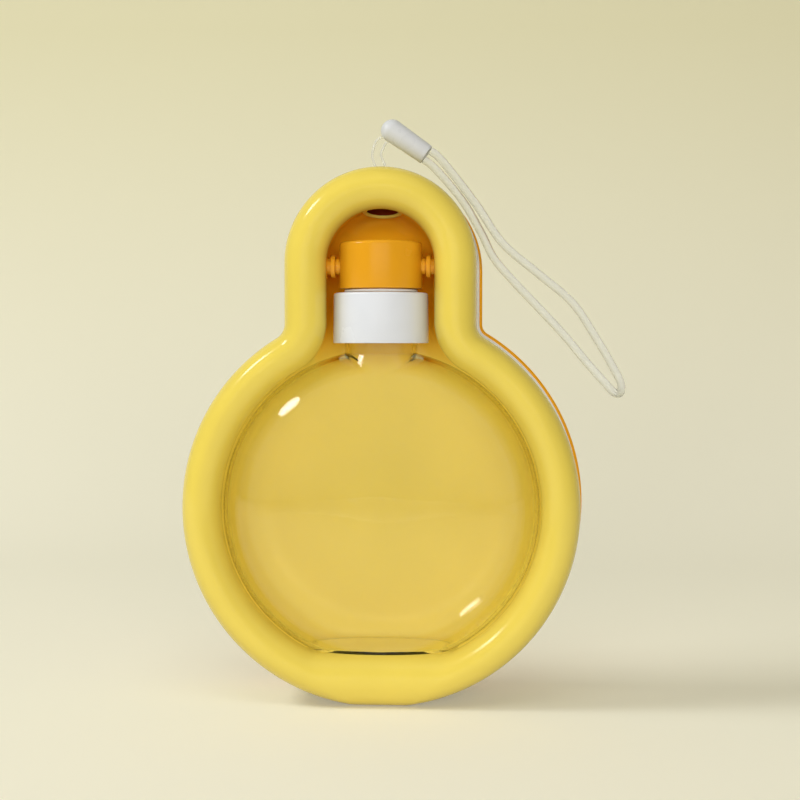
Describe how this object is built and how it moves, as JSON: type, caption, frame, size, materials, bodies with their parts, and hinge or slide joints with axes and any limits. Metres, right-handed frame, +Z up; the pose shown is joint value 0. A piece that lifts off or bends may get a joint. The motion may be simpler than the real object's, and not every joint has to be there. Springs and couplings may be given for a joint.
{
  "type": "pet water bottle",
  "caption": "Clear disc shaped water bottle hanging by its cap in a keyhole shaped drinking bowl with a rolled rim, swinging out to fill it, with a wrist lanyard.",
  "frame": {"origin": "under the middle of the object on the plane it stands on, midway between the bottle's front and the cover's back", "axes": "+Z up through the neck, +Y to the back, +X to the right as seen from the front"},
  "size_m": [0.1653, 0.063, 0.2158],
  "materials": {
    "yellow_plastic": "smooth semi gloss moulding",
    "amber_plastic": "smooth semi gloss moulding",
    "orange_plastic": "smooth semi gloss moulding",
    "white_plastic": "smooth semi gloss moulding",
    "clear_plastic": "clear polished",
    "milky_plastic": "translucent satin",
    "clear_cord": "clear flexible cord",
    "seal_rubber": "satin silicone"
  },
  "bodies": {
    "bowl": {"bowl_shell": "yellow_plastic", "rear_cover": "amber_plastic", "seam_seal": "seal_rubber", "cord_eyelet": "yellow_plastic", "left_pivot_bush": "amber_plastic", "right_pivot_bush": "amber_plastic", "lanyard_bead": "milky_plastic", "lanyard_string": "clear_cord", "lanyard_sleeve": "milky_plastic", "lanyard_loop": "clear_cord"},
    "bottle_unit": {"bottle": "clear_plastic", "neck_gasket": "seal_rubber", "swivel_ring": "seal_rubber", "pivot_cap": "orange_plastic", "outlet_valve": "seal_rubber", "valve_retainer": "white_plastic", "left_pivot_pin": "orange_plastic", "right_pivot_pin": "orange_plastic", "left_pivot_washer": "orange_plastic", "right_pivot_washer": "orange_plastic"},
    "collar": {"screw_collar": "white_plastic"}
  },
  "joints": [
    {"name": "bottle_swing", "type": "hinge", "parent": "bowl", "child": "bottle_unit", "pos_m": [0, -0.005, 0.161], "axis": [-1, 0, 0], "range_deg": [0, 105]},
    {"name": "collar_turn", "type": "hinge", "parent": "bottle_unit", "child": "collar", "pos_m": [0, -0.005, 0.142], "axis": [0, 0, 1], "range_deg": [0, 360]}
  ]
}
